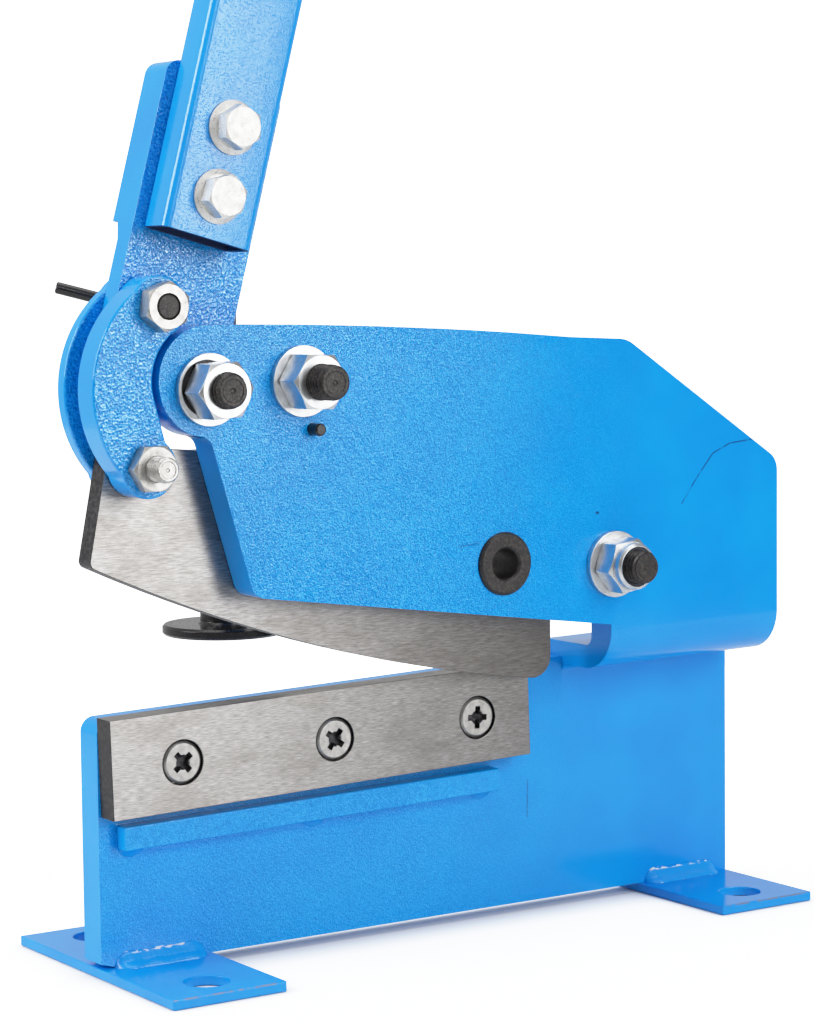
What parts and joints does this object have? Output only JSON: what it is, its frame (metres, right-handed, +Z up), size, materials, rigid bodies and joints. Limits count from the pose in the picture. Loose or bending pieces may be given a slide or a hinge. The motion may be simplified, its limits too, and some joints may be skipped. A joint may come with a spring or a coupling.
{
  "type": "bench shear",
  "caption": "Hand-lever bench shear: a joggled steel frame on drilled feet, a fixed lower blade, a pivoted upper blade driven by crescent links, and a screw hold-down.",
  "frame": {"origin": "centre of the four anchor holes, on the floor under the feet", "axes": "+X along the frame towards the blade pivot, -Y towards the user, +Z up"},
  "size_m": [0.3345, 0.1471, 0.7636],
  "materials": {
    "blue_paint": "bright blue hammered enamel, smoother on the right",
    "blade_steel": "bare ground tool steel with dark edges",
    "bright_zinc": "bright zinc plating",
    "dull_zinc": "dull grey zinc plating",
    "black_steel": "black oxide on steel",
    "nylon": "dark nylon locking ring",
    "black_rubber": "ribbed black rubber"
  },
  "bodies": {
    "frame": {"frame_plate": "blue_paint", "left_foot": "blue_paint", "right_foot": "blue_paint", "foot_welds": "blue_paint", "blade_ledge": "blue_paint", "ledge_welds": "blue_paint", "lower_blade": "blade_steel", "lower_blade_screws": "dull_zinc", "rod_bush": "black_steel", "lever_pivot_bolt": "black_steel", "lever_pivot_washer": "bright_zinc", "lever_pivot_rear_washer": "bright_zinc", "lever_pivot_nut": "bright_zinc", "hold_down_bracket": "blue_paint", "bracket_bolt": "black_steel", "bracket_washer": "bright_zinc", "bracket_nut": "bright_zinc", "bracket_pin": "black_steel", "blade_pivot_bolt": "black_steel", "blade_pivot_washer": "bright_zinc", "blade_pivot_rear_washer": "bright_zinc", "blade_pivot_lock_nut": "bright_zinc", "lock_nut_insert": "nylon"},
    "lever": {"lever_arm": "blue_paint", "handle_tube": "blue_paint", "handle_bolts": "dull_zinc", "handle_nuts": "dull_zinc", "handle_grip": "black_rubber"},
    "links": {"front_link": "blue_paint", "rear_link": "blue_paint", "link_top_bolt": "black_steel", "link_top_nut": "dull_zinc", "link_low_bolt": "bright_zinc", "link_low_nut": "dull_zinc"},
    "cutting_blade": {"upper_blade": "blade_steel"},
    "pressure_foot": {"hold_down_foot": "black_steel"},
    "clamp_screw": {"hold_down_screw": "black_steel", "hold_down_rod": "black_steel"}
  },
  "joints": [
    {"name": "lever_swing", "type": "hinge", "parent": "frame", "child": "lever", "pos_m": [-0.127, -0.0232, 0.232], "axis": [0, -1, 0], "range_deg": [0, 100]},
    {"name": "link_swing", "type": "hinge", "parent": "lever", "child": "links", "pos_m": [-0.1465, -0.0232, 0.264], "axis": [0, -1, 0], "range_deg": [-90.2, 0]},
    {"name": "blade_swing", "type": "hinge", "parent": "links", "child": "cutting_blade", "pos_m": [-0.152, -0.0232, 0.203], "axis": [0, -1, 0], "range_deg": [0, 4.9]},
    {"name": "clamp_travel", "type": "slide", "parent": "frame", "child": "pressure_foot", "axis": [0, 0, -1], "range_m": [-0.0036, 0.0176]},
    {"name": "clamp_turn", "type": "hinge", "parent": "pressure_foot", "child": "clamp_screw", "pos_m": [-0.07, 0.047, 0.19], "axis": [0, 0, -1], "range_deg": [-720, 3600]}
  ],
  "couplings": [
    {"joint": "link_swing", "follows": "lever_swing", "ratio": -0.9015},
    {"joint": "blade_swing", "follows": "lever_swing", "ratio": 0.0488},
    {"joint": "clamp_travel", "follows": "clamp_turn", "m_per_rad": 0.00027852}
  ]
}
